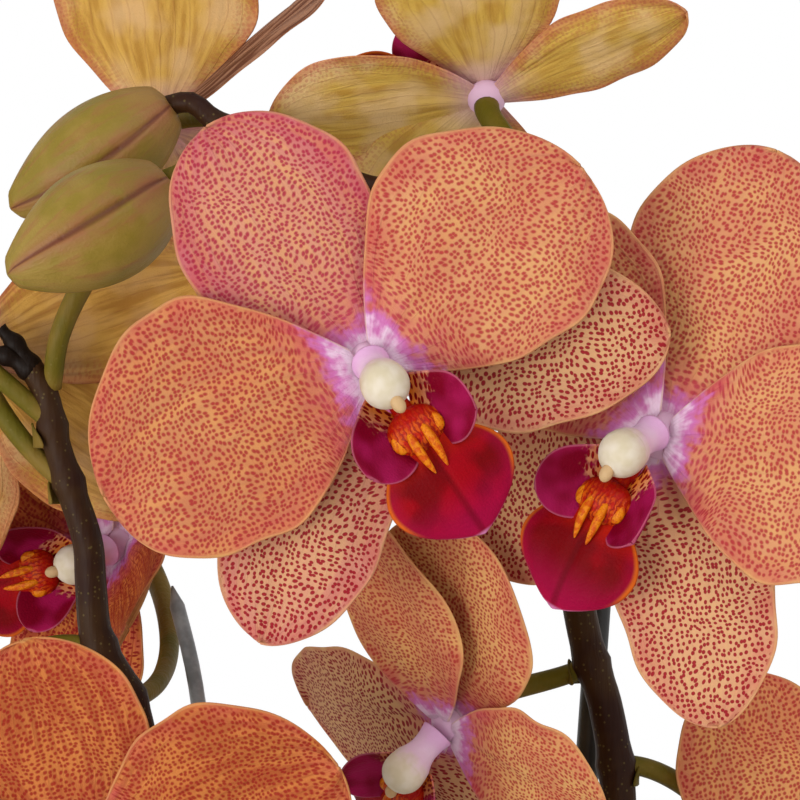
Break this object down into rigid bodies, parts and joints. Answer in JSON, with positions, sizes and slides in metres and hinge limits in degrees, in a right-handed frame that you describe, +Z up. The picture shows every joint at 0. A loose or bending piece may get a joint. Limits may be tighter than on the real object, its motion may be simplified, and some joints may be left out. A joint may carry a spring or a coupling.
{
  "type": "potted fire orchid",
  "caption": "Moth orchid in a plain pot, with staked flower spikes of orange, crimson spotted blooms, fat buds, strap leaves and roots in bark.",
  "frame": {"origin": "centre of the pot's underside", "axes": "+Z up along the pot and the flower spikes, -Y towards the side that the blooms face"},
  "size_m": [0.3375, 0.1284, 0.5123],
  "materials": {
    "glaze": "gloss",
    "bark": "matte",
    "root": "matte",
    "leaf": "satin",
    "spike": "satin",
    "stake": "satin",
    "wire": "satin",
    "clip": "satin",
    "tepal": "satin",
    "lip": "satin",
    "column": "satin",
    "bud": "satin"
  },
  "bodies": {
    "root": {"pot": "glaze", "bark_medium": "bark", "stem_and_roots": "root", "flower_spike_left": "spike", "flower_spike_right": "spike", "stake_black": "stake", "stake_grey": "wire", "bud_left": "bud", "bud_right": "bud", "leaf_1": "leaf", "leaf_2": "leaf", "leaf_3": "leaf", "leaf_4": "leaf", "leaf_5": "leaf", "leaf_6": "leaf", "clip_right_low": "clip", "clip_right_high": "clip", "clip_left_low": "clip", "clip_left_high": "clip", "bloom_a_tepals": "tepal", "bloom_a_lip": "lip", "bloom_a_column": "column", "bloom_b_tepals": "tepal", "bloom_b_lip": "lip", "bloom_b_column": "column", "bloom_c_tepals": "tepal", "bloom_c_lip": "lip", "bloom_c_column": "column", "bloom_d_tepals": "tepal", "bloom_d_lip": "lip", "bloom_d_column": "column", "bloom_e_tepals": "tepal", "bloom_e_lip": "lip", "bloom_e_column": "column", "bloom_f_tepals": "tepal", "bloom_f_lip": "lip", "bloom_f_column": "column", "bloom_g_tepals": "tepal", "bloom_g_lip": "lip", "bloom_g_column": "column", "bloom_h_tepals": "tepal", "bloom_h_lip": "lip", "bloom_h_column": "column", "bloom_i_tepals": "tepal", "bloom_i_lip": "lip", "bloom_i_column": "column", "bloom_k_tepals": "tepal", "bloom_k_lip": "lip", "bloom_k_column": "column"}
  },
  "joints": []
}
